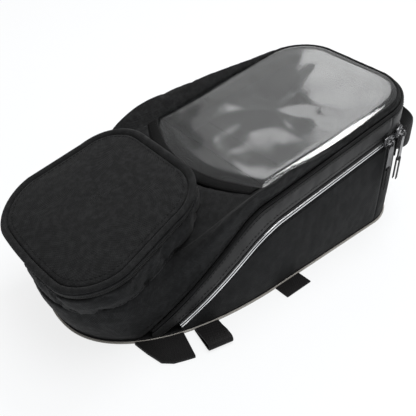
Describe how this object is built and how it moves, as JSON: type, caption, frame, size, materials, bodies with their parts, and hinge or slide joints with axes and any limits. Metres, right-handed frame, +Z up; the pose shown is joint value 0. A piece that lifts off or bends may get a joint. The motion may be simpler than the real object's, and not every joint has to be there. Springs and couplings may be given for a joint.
{
  "type": "motorcycle tank bag",
  "caption": "Black fabric motorcycle tank bag with a zipped lid, a clear map window and a zipped pocket on its low end.",
  "frame": {"origin": "on the floor, under the middle of the base", "axes": "+X towards the high end of the bag, +Y to its left side, +Z up"},
  "size_m": [0.3934, 0.2194, 0.1331],
  "materials": {
    "fabric": "matte",
    "satin": "satin",
    "binding": "satin",
    "silver": "satin",
    "zip": "matte",
    "clear": "gloss",
    "lining": "matte",
    "hook": "matte",
    "board": "matte",
    "grip": "matte",
    "metal": "satin",
    "webbing": "matte"
  },
  "bodies": {
    "shell": {"base_panel": "grip", "base_board": "board", "side_panel_right": "fabric", "side_panel_left": "fabric", "end_panel": "fabric", "reflective_piping": "silver", "main_zip_lower": "zip", "grab_handle": "webbing", "handle_patch_right": "webbing", "handle_patch_left": "webbing", "strap_end_right": "webbing", "strap_end_left": "webbing", "side_tag": "webbing"},
    "lid": {"main_zip_upper": "zip", "lid_band_right": "satin", "lid_band_left": "satin", "lid_band_end": "satin", "seam_binding": "binding", "lid_rim": "fabric", "lid_panel": "fabric", "window_film": "clear", "window_trim": "fabric", "window_sleeve": "lining", "loop_strip": "hook", "flap_hinge_tape": "lining", "pocket_wall": "fabric", "pocket_zip_lower": "zip"},
    "sleeve_closure": {"sleeve_flap": "lining", "hook_strip": "hook"},
    "pocket_cover": {"pocket_zip_upper": "zip", "pocket_rim": "fabric", "pocket_top": "fabric"},
    "side_slider": {"zip_slider_side": "metal"},
    "end_slider": {"zip_slider_end": "metal"},
    "side_pull": {"zip_pull_side": "metal", "pull_ribbon_side": "webbing"},
    "end_pull": {"zip_pull_end": "metal", "pull_ribbon_end": "webbing"},
    "pocket_zip_slider": {"pocket_slider": "metal"},
    "pocket_zip_pull": {"pocket_pull": "metal"},
    "right_loop": {"strap_loop_right": "webbing"},
    "left_loop": {"strap_loop_left": "webbing"}
  },
  "joints": [
    {"name": "lid_open", "type": "hinge", "parent": "shell", "child": "lid", "pos_m": [-0.176, 0, 0.003], "axis": [0, -1, 0], "range_deg": [0, 78]},
    {"name": "pocket_cover_open", "type": "hinge", "parent": "lid", "child": "pocket_cover", "pos_m": [-0.06192, 0, 0.11909], "axis": [0, 1, 0], "range_deg": [0, 110]},
    {"name": "sleeve_flap_open", "type": "hinge", "parent": "lid", "child": "sleeve_closure", "pos_m": [0.03207, 0, 0.09526], "axis": [0, -1, 0], "range_deg": [0, 75]},
    {"name": "side_slider_run", "type": "slide", "parent": "shell", "child": "side_slider", "axis": [-0.9883, -0.037, -0.1482], "range_m": [0, 0.125]},
    {"name": "end_slider_run", "type": "hinge", "parent": "shell", "child": "end_slider", "pos_m": [0.128, -0.0325, 0.09905], "axis": [-0.1483, 0, 0.9889], "range_deg": [0, 16]},
    {"name": "side_pull_swing", "type": "hinge", "parent": "side_slider", "child": "side_pull", "pos_m": [0.12528, -0.08701, 0.0986], "axis": [-0.9883, -0.037, -0.1482], "range_deg": [0, 110]},
    {"name": "end_pull_swing", "type": "hinge", "parent": "end_slider", "child": "end_pull", "pos_m": [0.14403, -0.08448, 0.10113], "axis": [-0.9459, -0.2918, -0.1419], "range_deg": [0, 110]},
    {"name": "pocket_slider_run", "type": "slide", "parent": "lid", "child": "pocket_zip_slider", "axis": [-0.9247, 0.1521, -0.3488], "range_m": [0, 0.045]},
    {"name": "pocket_pull_swing", "type": "hinge", "parent": "pocket_zip_slider", "child": "pocket_zip_pull", "pos_m": [-0.0968, 0.0732, 0.10553], "axis": [0.9247, -0.1521, 0.3488], "range_deg": [0, 110]},
    {"name": "right_loop_lift", "type": "hinge", "parent": "shell", "child": "right_loop", "pos_m": [-0.08509, -0.08114, 0.0016], "axis": [-0.9819, 0.1894, 0], "range_deg": [0, 60]},
    {"name": "left_loop_lift", "type": "hinge", "parent": "shell", "child": "left_loop", "pos_m": [-0.08509, 0.08114, 0.0016], "axis": [0.9819, 0.1894, 0], "range_deg": [0, 60]}
  ]
}
